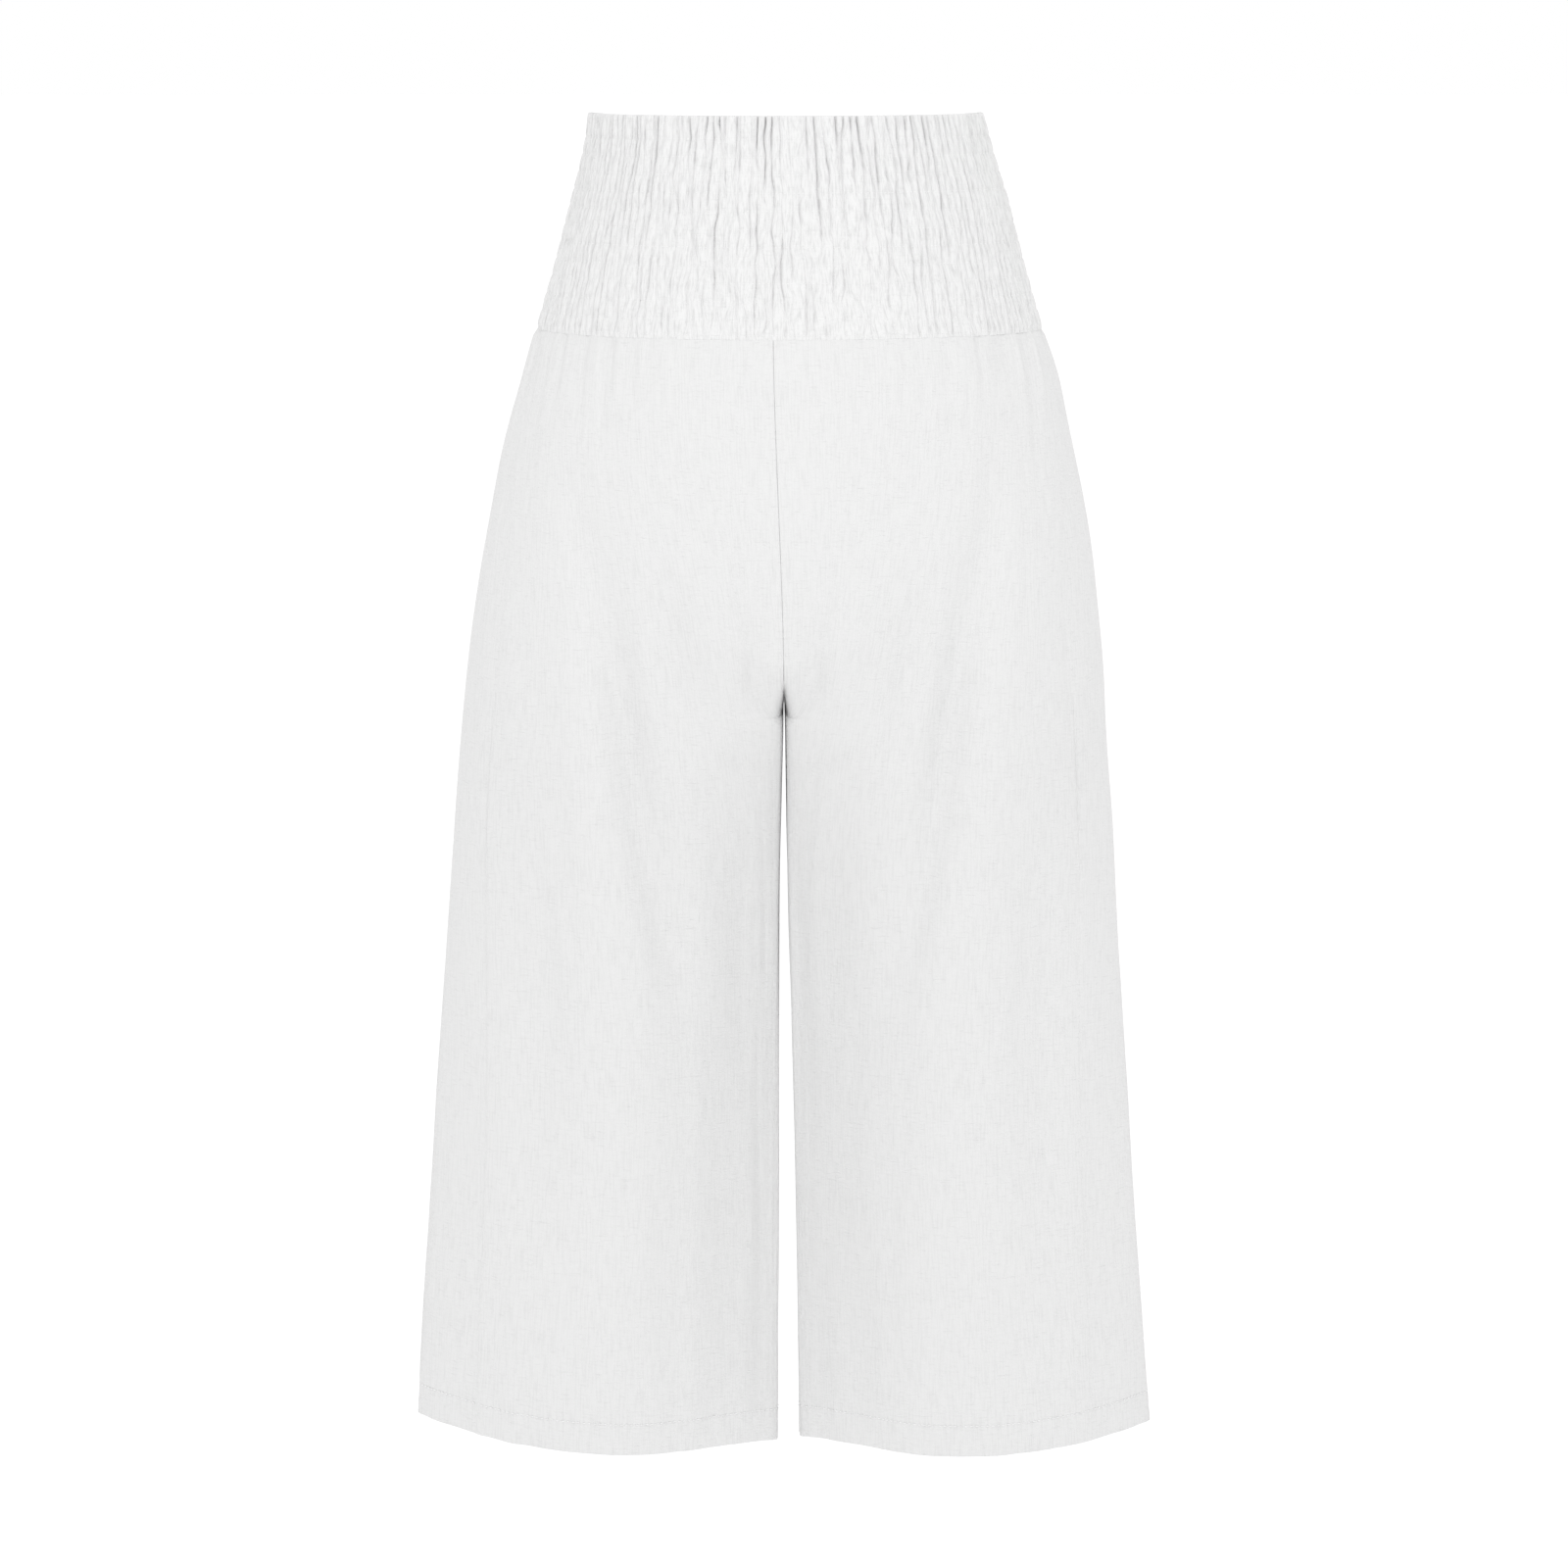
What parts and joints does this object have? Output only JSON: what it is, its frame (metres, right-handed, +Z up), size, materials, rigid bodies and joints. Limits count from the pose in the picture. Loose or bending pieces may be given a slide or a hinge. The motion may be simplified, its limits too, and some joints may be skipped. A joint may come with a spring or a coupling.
{
  "type": "capri pants",
  "caption": "Cropped wide-leg trousers with a deep shirred elastic waistband, two panels to each leg and turned-up hems, hollow and filled out as worn.",
  "frame": {"origin": "middle of the waist opening, level with its rim, where the wearer's waist holds the garment up", "axes": "+Z up along the legs, the back of the garment faces -Y and its front +Y, the wearer's left is -X"},
  "size_m": [0.459, 0.2321, 0.8272],
  "materials": {
    "shirred_cotton": "matt crinkled cotton gauze gathered by rows of elastic thread",
    "crinkled_cotton": "matt crinkled cotton gauze with fine upright crinkles"
  },
  "bodies": {
    "root": {"waistband_back": "shirred_cotton", "waistband_front": "shirred_cotton", "left_back_leg": "crinkled_cotton", "right_back_leg": "crinkled_cotton", "left_front_leg": "crinkled_cotton", "right_front_leg": "crinkled_cotton"}
  },
  "joints": []
}
